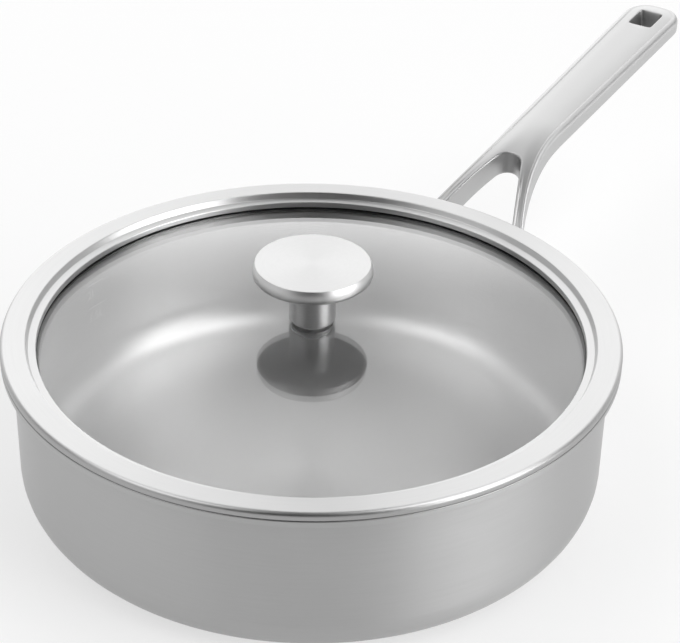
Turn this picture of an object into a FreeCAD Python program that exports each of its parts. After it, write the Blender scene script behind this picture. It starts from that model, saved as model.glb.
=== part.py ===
import FreeCAD, Part
import math
import os
import Sketcher

# Saute pan with a lid: clad vessel, forked cast handle, domed glass lid in a steel ring.
# Millimetres, +Z up, the handle along +X, the origin at the middle of the base's underside.

# Driving dimensions
SIZES = {
    # vessel
    "bore_radius": 120.0,
    "outer_ply": 0.5,
    "core_ply": 1.6,
    "inner_ply": 0.5,
    "corner_radius": 15.1,
    "rim_height": 70.5,
    "flare_radius": 3.2,
    "lip_flat": 1.5,
    "edge_cap": 0.6,
    # handle seen from above, reaches counted from the vessel's wall
    "handle_length": 198.2,
    "neck_reach": 64.4,
    "neck_half_width": 12.3,
    "end_spread": 2.4,
    "end_corner_share": 0.82,
    "fork_radius": 107.0,
    "fork_run": 49.6,
    "arm_bury": 10.0,
    "gap_reach": 37.6,
    "arm_width": 7.3,
    "gap_radius": 7.2,
    "hole_length": 14.4,
    "hole_width": 12.2,
    "hole_corner": 2.2,
    "hole_edge": 9.8,
    # handle seen from the side
    "bar_lift": 21.2,
    "bar_rise": 17.0,
    "bar_reach": 71.2,
    "bend_radius": 110.0,
    "bend_reach": 12.8,
    "arm_thick": 10.4,
    "end_thick": 8.8,
    "top_round": 1.6,
    "under_round": 1.4,
    "hole_round": 0.7,
    # feet of the handle
    "foot_width": 16.0,
    "foot_height": 24.0,
    "foot_thick": 3.0,
    "foot_corner": 4.0,
    "weld_thick": 0.4,
    "weld_margin": 2.5,
    # lid ring
    "ring_rise": 3.4,
    "ring_sheet": 0.7,
    "ring_round": 1.2,
    "ring_inset": 10.2,
    "slope_run": 3.2,
    "slope_drop": 5.0,
    "slope_round": 0.7,
    "hem_width": 2.3,
    "ring_fit": 0.1,
    "retainer_lap": 3.2,
    # glass and seal
    "dome_radius": 680.0,
    "glass_thick": 4.0,
    "glass_lap": 3.3,
    "seal_thick": 1.0,
    "seal_toe": 0.4,
    "seal_fit": 0.05,
    "hole_radius": 4.9,
    # knob and its fixing
    "knob_radius": 24.6,
    "knob_thick": 6.0,
    "knob_top_round": 1.1,
    "knob_under_round": 2.6,
    "stem_radius": 9.65,
    "stem_length": 19.7,
    "stem_round": 0.6,
    "stem_fillet": 3.0,
    "seat_radius": 8.6,
    "seat_thick": 0.8,
    "washer_radius": 8.8,
    "grommet_thick": 1.0,
    "grommet_fit": 0.2,
    "washer_thick": 1.0,
    "lock_radius": 4.6,
    "lock_thick": 1.2,
    "lock_gap": 1.4,
    "screw_radius": 2.4,
    "screw_fit": 0.3,
    "thread_fit": 0.1,
    "thread_depth": 10.0,
    "screw_grip": 8.0,
    "head_radius": 4.7,
    "head_height": 3.0,
    "head_round": 1.6,
    "recess_width": 1.3,
    "recess_length": 5.0,
    "recess_depth": 1.8,
    # spare length of every cut, and how near a place an edge counts as lying on it
    "overrun": 6.0,
    "pick_reach": 0.01,
}

# Places worked out from the driving dimensions
LAYOUT = {
    "wall_thick": "outer_ply + core_ply + inner_ply",
    "wall_radius": "bore_radius + wall_thick",
    "corner_x": "bore_radius - corner_radius",
    "corner_z": "wall_thick + corner_radius",
    "flare_x": "wall_radius + flare_radius",
    "flare_z": "rim_height - wall_thick - flare_radius",
    "lip_radius": "flare_x + lip_flat",
    "lip_under": "rim_height - wall_thick",
    # handle from above
    "end_x": "wall_radius + handle_length",
    "neck_x": "wall_radius + neck_reach",
    "root_x": "wall_radius - arm_bury",
    "fork_x": "neck_x - fork_run",
    "side_run": "end_x - neck_x",
    "end_half_width": "neck_half_width + end_spread",
    "side_slant": "sqrt(side_run ^ 2 + end_spread ^ 2)",
    "side_sine": "end_spread / side_slant",
    "side_cosine": "side_run / side_slant",
    "fork_reach": "fork_run - fork_radius * side_sine",
    "fork_fall": "sqrt(fork_radius ^ 2 - fork_reach ^ 2)",
    "fork_slope": "fork_reach / fork_fall",
    "fork_half": "neck_half_width + fork_radius * side_cosine - fork_fall",
    "root_half": "fork_half + fork_slope * (fork_x - root_x)",
    "gap_x": "wall_radius + gap_reach",
    "gap_root_half": "root_half - arm_width",
    "gap_run": "gap_x - root_x",
    "gap_far": "sqrt(gap_run ^ 2 + gap_root_half ^ 2)",
    "gap_side": "sqrt(gap_far ^ 2 - gap_radius ^ 2)",
    "gap_sine": "(gap_root_half * gap_side - gap_run * gap_radius) / gap_far ^ 2",
    "gap_cosine": "(gap_run * gap_side + gap_root_half * gap_radius) / gap_far ^ 2",
    "gap_slope": "gap_sine / gap_cosine",
    "gap_touch_x": "gap_x + gap_radius * gap_sine",
    "gap_touch_y": "gap_radius * gap_cosine",
    "end_corner": "end_corner_share * end_half_width",
    "end_centre_y": "end_half_width - end_corner * (1 + side_sine) / side_cosine",
    "end_touch_x": "end_x - end_corner * (1 + side_sine)",
    "end_touch_y": "end_centre_y + end_corner * side_cosine",
    "hole_far_x": "end_x - hole_edge",
    "hole_near_x": "hole_far_x - hole_length",
    # handle from the side
    "bar_x": "wall_radius + bar_reach",
    "bar_height": "rim_height + bar_lift",
    "bar_slant": "sqrt((end_x - bar_x) ^ 2 + bar_rise ^ 2)",
    "bar_sine": "bar_rise / bar_slant",
    "bar_cosine": "(end_x - bar_x) / bar_slant",
    "bend_x": "bar_x + bend_radius * bar_sine",
    "bend_z": "bar_height - bend_radius * bar_cosine",
    "arm_x": "wall_radius + bend_reach",
    "arm_sine": "(bend_x - arm_x) / bend_radius",
    "arm_cosine": "sqrt(1 - arm_sine ^ 2)",
    "arm_slope": "arm_sine / arm_cosine",
    "arm_z": "bend_z + bend_radius * arm_cosine",
    "under_radius": "bend_radius - arm_thick",
    "arm_under_x": "bend_x - under_radius * arm_sine",
    "arm_under_z": "bend_z + under_radius * arm_cosine",
    "root_top": "arm_z - (arm_x - root_x) * arm_slope",
    "root_under": "arm_under_z - (arm_under_x - root_x) * arm_slope",
    "end_top": "bar_height + bar_rise",
    "under_run": "end_x - bend_x",
    "under_rise": "end_top - end_thick - bend_z",
    "under_far": "sqrt(under_run ^ 2 + under_rise ^ 2)",
    "under_side": "sqrt(under_far ^ 2 - under_radius ^ 2)",
    "under_sine": "(under_side * under_rise - under_radius * under_run) / under_far ^ 2",
    "under_cosine": "(under_radius * under_rise + under_side * under_run) / under_far ^ 2",
    # feet
    "foot_radius": "wall_radius + weld_thick",
    "arm_spread": "fork_slope + gap_slope",
    "foot_y": "(root_half + gap_root_half) / 2 - arm_bury / 2 * arm_spread / 2",
    "foot_angle": "asin(foot_y / foot_radius) / 1 deg",
    "foot_x": "sqrt(foot_radius ^ 2 - foot_y ^ 2)",
    "foot_z": "(root_top + root_under) / 2 + (foot_x - root_x) * arm_slope",
    "foot_low": "foot_z - foot_height / 2",
    "foot_high": "foot_z + foot_height / 2",
    "weld_span": "2 * asin((foot_width / 2 - weld_margin) / foot_radius) / 1 deg",
    # lid ring and seal
    "ring_top": "rim_height + ring_rise",
    "ring_under": "ring_top - ring_sheet",
    "skirt_radius": "lip_radius - ring_sheet",
    "hem_top": "rim_height + ring_sheet",
    "flat_radius": "lip_radius - ring_inset",
    "foot_ring_radius": "flat_radius - slope_run",
    "foot_ring_z": "ring_top - slope_drop",
    "slope_length": "sqrt(slope_run ^ 2 + slope_drop ^ 2)",
    "slope_sheet": "ring_sheet * slope_length / slope_drop",
    "slope_inner_top": "foot_ring_radius + slope_sheet + (slope_drop - ring_sheet) * slope_run / slope_drop",
    "toe_radius": "foot_ring_radius - seal_toe",
    "glass_radius": "foot_ring_radius + glass_lap",
    "seal_radius": "glass_radius + seal_thick",
    "seal_dome": "dome_radius + seal_thick",
    "dome_z": "foot_ring_z - seal_fit - sqrt(seal_dome ^ 2 - foot_ring_radius ^ 2)",
    "under_dome": "dome_radius - glass_thick",
    "seal_under_dome": "under_dome - seal_thick",
    "retainer_radius": "seal_radius + seal_fit",
    "retainer_outer": "retainer_radius + ring_sheet",
    "retainer_lip": "glass_radius - retainer_lap",
    "retainer_seat": "dome_z + sqrt(seal_under_dome ^ 2 - seal_radius ^ 2) - seal_fit",
    # knob stack, from the glass upwards and downwards
    "crown_z": "dome_z + dome_radius",
    "crown_under_z": "dome_z + under_dome",
    "stem_z": "crown_z + seat_thick",
    "knob_z": "stem_z + stem_length",
    "knob_top": "knob_z + knob_thick",
    "grommet_z": "crown_under_z - grommet_thick",
    "washer_z": "grommet_z - washer_thick",
    "lock_z": "washer_z - lock_thick",
    "head_z": "lock_z - head_height",
    "pass_radius": "screw_radius + screw_fit",
    "thread_radius": "screw_radius + thread_fit",
    "sleeve_radius": "hole_radius - grommet_fit",
    "sleeve_top": "crown_z - grommet_fit",
    "screw_top": "stem_z + screw_grip",
    "thread_top": "stem_z + thread_depth",
}

doc = FreeCAD.newDocument("saute_pan")
sheet = doc.addObject("Spreadsheet::Sheet", "Sizes")
for row, (alias, size) in enumerate(SIZES.items(), 1):
    sheet.set(f"A{row}", alias)
    sheet.set(f"B{row}", str(size))
    sheet.setAlias(f"B{row}", alias)
doc.recompute()


def bound(formula):
    """A formula with every size and place named through the object that holds it."""
    parts = []
    word = ""
    for sign in formula + " ":
        if sign.isalpha() or sign == "_":
            word += sign
            continue
        home = "Sizes." if word in SIZES else "Layout." if word in LAYOUT else ""
        parts.append(home + word + sign)
        word = ""
    return "".join(parts).strip()


layout = doc.addObject("App::VarSet", "Layout")
for name in LAYOUT:
    layout.addProperty("App::PropertyFloat", name, "Places")
for name, formula in LAYOUT.items():
    layout.setExpression(name, bound(formula))
doc.recompute()


def number(formula):
    """The present value of a formula."""
    return float(layout.evalExpression(bound(formula)))


def new_body(label):
    """An empty body of the document, named after its node."""
    body = doc.addObject("PartDesign::Body", label)
    body.Label = label
    return body


def new_sketch(body, name, role, turn=None):
    """A sketch on one of the body's origin planes, turned about its own Y axis by a formula's degrees."""
    sketch = body.newObject("Sketcher::SketchObject", name)
    plane = next(item for item in body.Origin.OriginFeatures if item.Role == role)
    sketch.AttachmentSupport = [(plane, "")]
    sketch.MapMode = "FlatFace"
    if turn:
        upright = FreeCAD.Vector(0, 1, 0)
        sketch.AttachmentOffset = FreeCAD.Placement(FreeCAD.Vector(), FreeCAD.Rotation(upright, 0))
        sketch.setExpression("AttachmentOffset.Rotation.Angle", bound(turn))
    return sketch


def hold(sketch, kind, formula, *place):
    """A sketch constraint whose size is bound to a formula."""
    index = sketch.addConstraint(Sketcher.Constraint(kind, *place, number(formula)))
    sketch.setExpression(f"Constraints[{index}]", bound(formula))


def hold_point(sketch, place, across, up):
    """Fix a sketch point at two formulas, both counted from the origin."""
    for kind, axis, formula in (("DistanceX", -2, across), ("DistanceY", -1, up)):
        if number(formula) == 0:
            sketch.addConstraint(Sketcher.Constraint("PointOnObject", *place, axis))
        elif number(formula) > 0:
            hold(sketch, kind, formula, -1, 1, *place)
        else:
            hold(sketch, kind, f"-({formula})", *place, -1, 1)


def arc_between(here, there, side, radius):
    """The arc under a half circle from here to there, its centre on the given side of that way."""
    way = there - here
    lift = math.sqrt(radius ** 2 - way.Length ** 2 / 4)
    left = FreeCAD.Vector(-way.y, way.x, 0).normalize()
    centre = (here + there) / 2 + left * (lift if side == "left" else -lift)
    first, last = (here, there) if side == "left" else (there, here)
    angles = [math.atan2(end.y - centre.y, end.x - centre.x) for end in (first, last)]
    return Part.ArcOfCircle(Part.Circle(centre, FreeCAD.Vector(0, 0, 1), radius), *angles)


def outline(sketch, corners):
    """A closed outline. A corner is (across, up), and before an arc its centre's side and radius too."""
    places = [FreeCAD.Vector(number(corner[0]), number(corner[1]), 0) for corner in corners]
    starts = []
    ends = []
    for corner, here, there in zip(corners, places, places[1:] + places[:1]):
        order = (1, 2)
        if len(corner) == 2:
            edge = sketch.addGeometry(Part.LineSegment(here, there))
        else:
            side, radius = corner[2:]
            edge = sketch.addGeometry(arc_between(here, there, side, number(radius)))
            hold(sketch, "Radius", radius, edge)
            order = (1, 2) if side == "left" else (2, 1)
        starts.append((edge, order[0]))
        ends.append((edge, order[1]))
    for corner, start, end in zip(corners, starts, ends[-1:] + ends[:-1]):
        sketch.addConstraint(Sketcher.Constraint("Coincident", *end, *start))
        hold_point(sketch, start, *corner[:2])


def turned(label, corners):
    """A body turned about Z from its half section."""
    body = new_body(label)
    section = new_sketch(body, label + "_section", "XZ_Plane")
    outline(section, corners)
    turn = body.newObject("PartDesign::Revolution", label + "_turn")
    turn.Profile = section
    turn.ReferenceAxis = (section, ["V_Axis"])
    doc.recompute()
    return body


def cut_upwards(body, name, height, *outlines):
    """Cut outlines drawn on the base plane through the body, up to a height."""
    before = body.Shape.Volume
    sketch = new_sketch(body, name + "_outline", "XY_Plane")
    for corners in outlines:
        outline(sketch, corners)
    pocket = body.newObject("PartDesign::Pocket", name)
    pocket.Profile = sketch
    pocket.Reversed = True
    pocket.setExpression("Length", bound(height))
    doc.recompute()
    if not body.Shape.Volume < before:
        raise ValueError(f"{name} cuts nothing")


def round_edges(body, name, radius, edges):
    """Round the given edges of the body's present shape."""
    names = [f"Edge{index}" for index, edge in enumerate(body.Shape.Edges, 1) if edges(edge)]
    if not names:
        raise ValueError(f"{name} finds no edge")
    base = body.Tip
    fillet = body.newObject("PartDesign::Fillet", name)
    fillet.Base = (base, names)
    fillet.setExpression("Radius", bound(radius))
    doc.recompute()


def mirrored(corners):
    """An outline's upper half joined by its mirror image below the X axis."""
    lower = [(across, f"-({up})") for across, up, *arc in reversed(corners)]
    arcs = [corner[2:] for corner in corners]
    for index, arc in enumerate(reversed(arcs[:-1])):
        lower[index] += tuple(arc)
    return corners + lower


# Vessel: three plies pressed together, each between two offsets from the outside
def ply_side(offset, reach, outwards):
    """One side of a ply, from the axis to the lip, or back when not outwards."""
    corner = f"corner_radius + wall_thick - ({offset})"
    flare = f"flare_radius + {offset}"
    wall = f"wall_radius - ({offset})"
    lip = f"lip_under + {offset}"
    if outwards:
        return [("0", offset), ("corner_x", offset, "left", corner), (wall, "corner_z"),
                (wall, "flare_z", "right", flare), ("flare_x", lip), (reach, lip)]
    return [(reach, lip), ("flare_x", lip, "left", flare), (wall, "flare_z"),
            (wall, "corner_z", "right", corner), ("corner_x", offset), ("0", offset)]


core_low = "outer_ply"
core_high = "outer_ply + core_ply"
core_reach = "lip_radius - edge_cap"
edge_turn = [("lip_radius", f"lip_under + {core_high}"), (core_reach, f"lip_under + {core_high}")]
outer_skin = ply_side("0", "lip_radius", True) + edge_turn + ply_side(core_low, core_reach, False)
inner_skin = ply_side(core_high, "lip_radius", True) + ply_side("wall_thick", "lip_radius", False)
turned("pan_outer_ply", outer_skin)
turned("pan_core_ply", ply_side(core_low, core_reach, True) + ply_side(core_high, core_reach, False))
turned("pan_inner_ply", inner_skin)

# Handle: the side view drawn out across, cut to the outline from above, rounded, seated on two feet
handle = new_body("handle")
side_view = new_sketch(handle, "handle_side", "XZ_Plane")
outline(side_view, [
    ("root_x", "root_top"), ("arm_x", "arm_z", "right", "bend_radius"), ("bar_x", "bar_height"),
    ("end_x", "end_top"), ("end_x", "end_top - end_thick"),
    ("bend_x - under_radius * under_sine", "bend_z + under_radius * under_cosine", "left", "under_radius"),
    ("arm_under_x", "arm_under_z"), ("root_x", "root_under")])
bar = handle.newObject("PartDesign::Pad", "handle_bar")
bar.Profile = side_view
bar.Midplane = True
bar.setExpression("Length", bound("2 * root_half + overrun"))
doc.recompute()
frame_half = "root_half + overrun"
frame = mirrored([("root_x - overrun", frame_half), ("end_x + overrun", frame_half)])
plan = mirrored([
    ("root_x", "root_half"), ("fork_x", "fork_half", "left", "fork_radius"), ("neck_x", "neck_half_width"),
    ("end_touch_x", "end_touch_y", "right", "end_corner"), ("end_x", "end_centre_y")])
gap = mirrored([
    ("root_x - overrun", "gap_root_half + overrun * gap_slope"),
    ("gap_touch_x", "gap_touch_y", "right", "gap_radius")])
hole = mirrored([
    ("hole_near_x", "hole_width / 2 - hole_corner", "right", "hole_corner"),
    ("hole_near_x + hole_corner", "hole_width / 2"),
    ("hole_far_x - hole_corner", "hole_width / 2", "right", "hole_corner"),
    ("hole_far_x", "hole_width / 2 - hole_corner")])
cut_height = "end_top + overrun"


def top_height(x):
    """Height of the handle's top face at a reach along X."""
    if x < layout.arm_x:
        return layout.root_top + (x - layout.root_x) * layout.arm_slope
    if x < layout.bar_x:
        return layout.bend_z + math.sqrt(sheet.bend_radius ** 2 - (x - layout.bend_x) ** 2)
    return layout.bar_height + (x - layout.bar_x) * sheet.bar_rise / (layout.end_x - layout.bar_x)


def middle(edge):
    """The middle point of an edge."""
    return edge.valueAt((edge.FirstParameter + edge.LastParameter) / 2)


def goes_across(edge):
    """Whether an edge runs along Y."""
    first, last = edge.Vertexes[0].Point, edge.Vertexes[-1].Point
    return abs(last.x - first.x) + abs(last.z - first.z) < sheet.pick_reach


def goes_upright(edge):
    """Whether an edge runs along Z."""
    first, last = edge.Vertexes[0].Point, edge.Vertexes[-1].Point
    return abs(last.x - first.x) + abs(last.y - first.y) < sheet.pick_reach


def in_hole(edge):
    """Whether an edge lies on the wall or the rounded rim of the hanging hole."""
    place = middle(edge)
    reach = sheet.hole_round + sheet.pick_reach
    along = layout.hole_near_x - reach < place.x < layout.hole_far_x + reach
    return along and abs(place.y) < sheet.hole_width / 2 + reach


def on_border(edge):
    """Whether an edge bounds the handle's top or underside, apart from its buried root and the hole."""
    place = middle(edge)
    buried = place.x < layout.root_x + sheet.pick_reach
    seam = goes_across(edge) and place.x < layout.end_x - sheet.pick_reach
    return not (buried or seam or goes_upright(edge) or in_hole(edge))


def on_top(edge):
    """Whether an edge lies on the handle's top face."""
    place = middle(edge)
    return abs(place.z - top_height(place.x)) < sheet.pick_reach


def below_top(edge):
    """Whether an edge of the border lies on the handle's underside."""
    return on_border(edge) and middle(edge).z < top_height(middle(edge).x) - sheet.end_thick / 2


cut_upwards(handle, "handle_hole", cut_height, hole)
round_edges(handle, "handle_hole_edges", "hole_round", lambda edge: in_hole(edge) and not goes_upright(edge))
cut_upwards(handle, "handle_plan", cut_height, frame, plan)
cut_upwards(handle, "handle_gap", cut_height, gap)
round_edges(handle, "handle_top_edges", "top_round", lambda edge: on_border(edge) and on_top(edge))
round_edges(handle, "handle_under_edges", "under_round", below_top)


def wall_band(body, name, turn, inner, thick, low, high, span):
    """A curved pad that follows the vessel's wall, centred on a turn about Z and spanning an angle."""
    section = new_sketch(body, name + "_section", "XZ_Plane", turn)
    outer = f"{inner} + {thick}"
    outline(section, [(inner, low), (outer, low), (outer, high), (inner, high)])
    band = body.newObject("PartDesign::Revolution", name)
    band.Profile = section
    band.ReferenceAxis = (section, ["V_Axis"])
    band.Midplane = True
    band.setExpression("Angle", bound(span))
    doc.recompute()


# Each arm ends in a foot, and both feet are hollowed to the wall with the weld's thickness between
foot = [
    ("foot_corner - foot_width / 2", "foot_low"),
    ("foot_width / 2 - foot_corner", "foot_low", "left", "foot_corner"),
    ("foot_width / 2", "foot_low + foot_corner"),
    ("foot_width / 2", "foot_high - foot_corner", "left", "foot_corner"),
    ("foot_width / 2 - foot_corner", "foot_high"),
    ("foot_corner - foot_width / 2", "foot_high", "left", "foot_corner"),
    ("-foot_width / 2", "foot_high - foot_corner"),
    ("-foot_width / 2", "foot_low + foot_corner", "left", "foot_corner")]
for side, sign in (("left", ""), ("right", "-")):
    turn = f"{sign}foot_angle"
    foot_sketch = new_sketch(handle, f"foot_{side}_outline", "YZ_Plane", turn)
    outline(foot_sketch, foot)
    foot_pad = handle.newObject("PartDesign::Pad", f"foot_{side}")
    foot_pad.Profile = foot_sketch
    foot_pad.setExpression("Length", bound("foot_radius + foot_thick"))
    doc.recompute()
    weld = new_body(f"handle_weld_{side}")
    wall_band(weld, f"weld_{side}", turn, "wall_radius", "weld_thick", "foot_low + weld_margin",
              "foot_high - weld_margin", "weld_span")
root_sketch = new_sketch(handle, "handle_root_outline", "XY_Plane")
root_circle = Part.Circle(FreeCAD.Vector(), FreeCAD.Vector(0, 0, 1), layout.foot_radius)
root_edge = root_sketch.addGeometry(root_circle)
root_sketch.addConstraint(Sketcher.Constraint("Coincident", root_edge, 3, -1, 1))
hold(root_sketch, "Radius", "foot_radius", root_edge)
root_cut = handle.newObject("PartDesign::Pocket", "handle_root")
root_cut.Profile = root_sketch
root_cut.Reversed = True
root_cut.setExpression("Length", bound(cut_height))
doc.recompute()


def is_ring(edge, radius, height):
    """Whether an edge is the circle of a radius at a height."""
    place = middle(edge)
    away = abs(math.hypot(place.x, place.y) - radius)
    return away + abs(place.z - height) < sheet.pick_reach


def on_dome(dome, radius):
    """Height of a dome of the lid at a radius from the axis."""
    return f"dome_z + sqrt({dome} ^ 2 - ({radius}) ^ 2)"


# Lid ring: foot on the seal, slope, flat top, rolled edge and hem
lid_ring = turned("lid_ring", [
    ("foot_ring_radius", "foot_ring_z"), ("flat_radius", "ring_top"),
    ("lip_radius - ring_round", "ring_top", "right", "ring_round"), ("lip_radius", "ring_top - ring_round"),
    ("lip_radius", "hem_top", "right", "ring_sheet"), ("skirt_radius", "rim_height"),
    ("lip_radius - hem_width", "rim_height"), ("lip_radius - hem_width", "hem_top"),
    ("skirt_radius", "hem_top"), ("skirt_radius", "ring_under"), ("slope_inner_top", "ring_under"),
    ("foot_ring_radius + slope_sheet", "foot_ring_z")])
round_edges(lid_ring, "ring_slope_edge", "slope_round",
            lambda edge: is_ring(edge, layout.flat_radius, layout.ring_top))

# Retainer: flange on the hem, wall in the mouth, lip below the glass
turned("lid_retainer", [
    ("skirt_radius - ring_fit", "hem_top"), ("skirt_radius - ring_fit", "hem_top + ring_sheet"),
    ("retainer_radius", "hem_top + ring_sheet"), ("retainer_radius", "retainer_seat"),
    ("retainer_lip", "retainer_seat"), ("retainer_lip", "retainer_seat - ring_sheet"),
    ("retainer_radius", "retainer_seat - ring_sheet", "left", "ring_sheet"),
    ("retainer_outer", "retainer_seat"), ("retainer_outer", "hem_top")])

# Seal: a channel round the edge of the glass
turned("glass_seal", [
    ("toe_radius", on_dome("seal_dome", "toe_radius"), "right", "seal_dome"),
    ("seal_radius", on_dome("seal_dome", "seal_radius")),
    ("seal_radius", on_dome("seal_under_dome", "seal_radius"), "left", "seal_under_dome"),
    ("retainer_lip", on_dome("seal_under_dome", "retainer_lip")),
    ("retainer_lip", on_dome("under_dome", "retainer_lip"), "right", "under_dome"),
    ("glass_radius", on_dome("under_dome", "glass_radius")),
    ("glass_radius", on_dome("dome_radius", "glass_radius"), "left", "dome_radius"),
    ("toe_radius", on_dome("dome_radius", "toe_radius"))])

# Glass: a shallow dome with a hole in its middle
turned("lid_glass", [
    ("hole_radius", on_dome("dome_radius", "hole_radius"), "right", "dome_radius"),
    ("glass_radius", on_dome("dome_radius", "glass_radius")),
    ("glass_radius", on_dome("under_dome", "glass_radius"), "left", "under_dome"),
    ("hole_radius", on_dome("under_dome", "hole_radius"))])

# Knob: a flat disc on a round stem, tapped from below
turned("knob", [
    ("thread_radius", "stem_z"), ("stem_radius - stem_round", "stem_z", "left", "stem_round"),
    ("stem_radius", "stem_z + stem_round"), ("stem_radius", "knob_z - stem_fillet", "right", "stem_fillet"),
    ("stem_radius + stem_fillet", "knob_z"),
    ("knob_radius - knob_under_round", "knob_z", "left", "knob_under_round"),
    ("knob_radius", "knob_z + knob_under_round"),
    ("knob_radius", "knob_top - knob_top_round", "left", "knob_top_round"),
    ("knob_radius - knob_top_round", "knob_top"), ("0", "knob_top"), ("0", "thread_top"),
    ("thread_radius", "thread_top")])

# Fixing of the knob, from the glass downwards
turned("knob_seat", [
    ("pass_radius", on_dome("dome_radius", "pass_radius"), "right", "dome_radius"),
    ("seat_radius", on_dome("dome_radius", "seat_radius")),
    ("seat_radius", "stem_z"), ("pass_radius", "stem_z")])
turned("hole_grommet", [
    ("pass_radius", "grommet_z"), ("seat_radius", "grommet_z"),
    ("seat_radius", on_dome("under_dome", "seat_radius"), "left", "under_dome"),
    ("sleeve_radius", on_dome("under_dome", "sleeve_radius")), ("sleeve_radius", "sleeve_top"),
    ("pass_radius", "sleeve_top")])
turned("cup_washer", [
    ("pass_radius", "washer_z"), ("washer_radius", "washer_z"), ("washer_radius", "grommet_z"),
    ("pass_radius", "grommet_z")])
lock_washer = turned("lock_washer", [
    ("pass_radius", "lock_z"), ("lock_radius", "lock_z"), ("lock_radius", "washer_z"),
    ("pass_radius", "washer_z")])
cut_upwards(lock_washer, "lock_split", "stem_z", mirrored([
    ("0", "lock_gap / 2"), ("lock_radius + overrun", "lock_gap / 2")]))
knob_screw = turned("knob_screw", [
    ("0", "head_z"), ("head_radius - head_round", "head_z", "left", "head_round"),
    ("head_radius", "head_z + head_round"), ("head_radius", "lock_z"), ("screw_radius", "lock_z"),
    ("screw_radius", "screw_top"), ("0", "screw_top")])
cut_upwards(knob_screw, "screw_recess", "head_z + recess_depth", mirrored([
    ("-recess_length / 2", "recess_width / 2"), ("-recess_width / 2", "recess_width / 2"),
    ("-recess_width / 2", "recess_length / 2"), ("recess_width / 2", "recess_length / 2"),
    ("recess_width / 2", "recess_width / 2"), ("recess_length / 2", "recess_width / 2")]))

# Every feature is sound, and each body goes to a file named after it
os.makedirs("parts", exist_ok=True)
faults = [item.Name for item in doc.Objects if {"Invalid", "Error"} & set(item.State)]
bodies = [item for item in doc.Objects if item.TypeId == "PartDesign::Body"]
faults += [body.Label for body in bodies if body.Shape.isNull() or not body.Shape.isValid()]
if faults:
    raise ValueError("unsound: " + ", ".join(faults))
for body in bodies:
    body.Shape.exportStep(f"parts/{body.Label}.step")
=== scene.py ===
"""Saute pan with a glass lid: the looks of the pan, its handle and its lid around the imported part.

Lengths are in metres; only the defaults of the length properties are given in millimetres. The pan's axis
is Z, its base lies on Z = 0 and the handle points along +X.
"""

from math import acos, asin, atan, atan2, ceil, copysign, cos, dist, pi, radians, sin, sqrt, tan, tau

import bmesh
import bpy
import numpy as np
from bpy.props import FloatProperty, FloatVectorProperty, PointerProperty
from mathutils import Matrix, Vector
from mathutils.geometry import delaunay_2d_cdt


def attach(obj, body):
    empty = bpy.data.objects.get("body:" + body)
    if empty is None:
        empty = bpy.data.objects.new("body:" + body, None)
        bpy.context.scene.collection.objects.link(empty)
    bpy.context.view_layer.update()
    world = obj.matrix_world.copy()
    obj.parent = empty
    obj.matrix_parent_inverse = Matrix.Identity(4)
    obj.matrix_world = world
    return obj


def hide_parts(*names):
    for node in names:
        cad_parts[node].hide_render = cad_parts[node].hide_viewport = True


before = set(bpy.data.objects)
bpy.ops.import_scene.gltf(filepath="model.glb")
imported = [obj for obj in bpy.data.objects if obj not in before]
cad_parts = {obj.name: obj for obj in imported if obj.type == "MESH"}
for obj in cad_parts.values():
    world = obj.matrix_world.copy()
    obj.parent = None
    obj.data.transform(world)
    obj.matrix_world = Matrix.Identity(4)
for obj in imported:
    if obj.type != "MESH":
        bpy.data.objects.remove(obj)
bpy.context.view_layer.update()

bl_info = {
    "name": "Saute pan with a glass lid",
    "version": (1, 0, 0),
    "blender": (4, 5, 0),
    "location": "View3D > Sidebar > Saute pan",
    "description": "Builds a clad saute pan, its forked handle and its domed glass lid, with a plain stage",
    "category": "Object",
}

MM = 0.001

# Fineness of the meshes
TURNS = 256  # facets round the axis
ON_AXIS = 1e-7  # points nearer to the axis than this lie on it
SAME_SPOT = 1e-9  # points of a plan nearer than this are one
ARC_STEP = radians(9)  # longest step along a rounded corner
SUPPORT = 0.4 * MM  # from a rounded corner to the support point on the side beyond it
SHARP_ANGLE = radians(38)  # corners sharper than this are not smoothed
QUARTER = (0, 22, 45, 67, 90)  # degrees along a small quarter round
FINE_QUARTER = (0, 10, 20, 31, 42, 54, 66, 78, 90)  # degrees along a large quarter round
LINE_STEP = 2.4 * MM  # longest step along the handle's straight edges
FORK_PARTS, END_PARTS, GAP_PARTS, HOLE_PARTS, FOOT_PARTS = 27, 15, 12, 8, 6  # steps of the handle's rounds
CREASE_STEPS = (0.45, 0.3, 0.15, 0.0, -0.15, -0.5, -1.1)  # millimetres from the crease out to the edge
GROOVE_STEPS = (-1, -0.5, 0, 0.5, 1, 1.5, 2.1)  # half widths of the groove from its middle
SIDE_STEPS = (0.06, 0.5, 0.94)  # shares of the height of the handle's sides
GRID_PITCH = 2.2 * MM  # between spots of the handle's top and underside
GRID_CLEAR = 1.1 * MM  # from such a spot to the edge
GRID_ROWS = 17  # rows of spots on either side of the handle's middle
GLASS_PARTS, SEAL_PARTS, MARK_PARTS = 60, 10, 12  # steps along the dome, the seal and a mark's line
FIGURE_PARTS = 4  # steps of a figure's curves
FIGURE_MERGE = 0.001 * MM  # points of a figure nearer than this are one

# Finishes
GRAIN_DEPTH = 0.05 * MM  # height of the fine relief
OFF_AXIS = 1e-5  # keeps a division by the radius safe on the axis
BRUSH_WAVES = 5.0  # how fast a brush line changes on its way round
BRUSH_LINES = 1100.0  # how fast the lines change from one to the next
ACROSS = 0.25  # turn that lays a streaked highlight across the brush lines
HOLE_SHADE_EDGE = 0.3 * MM  # softness of the edge of the painted shade inside the hole
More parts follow.
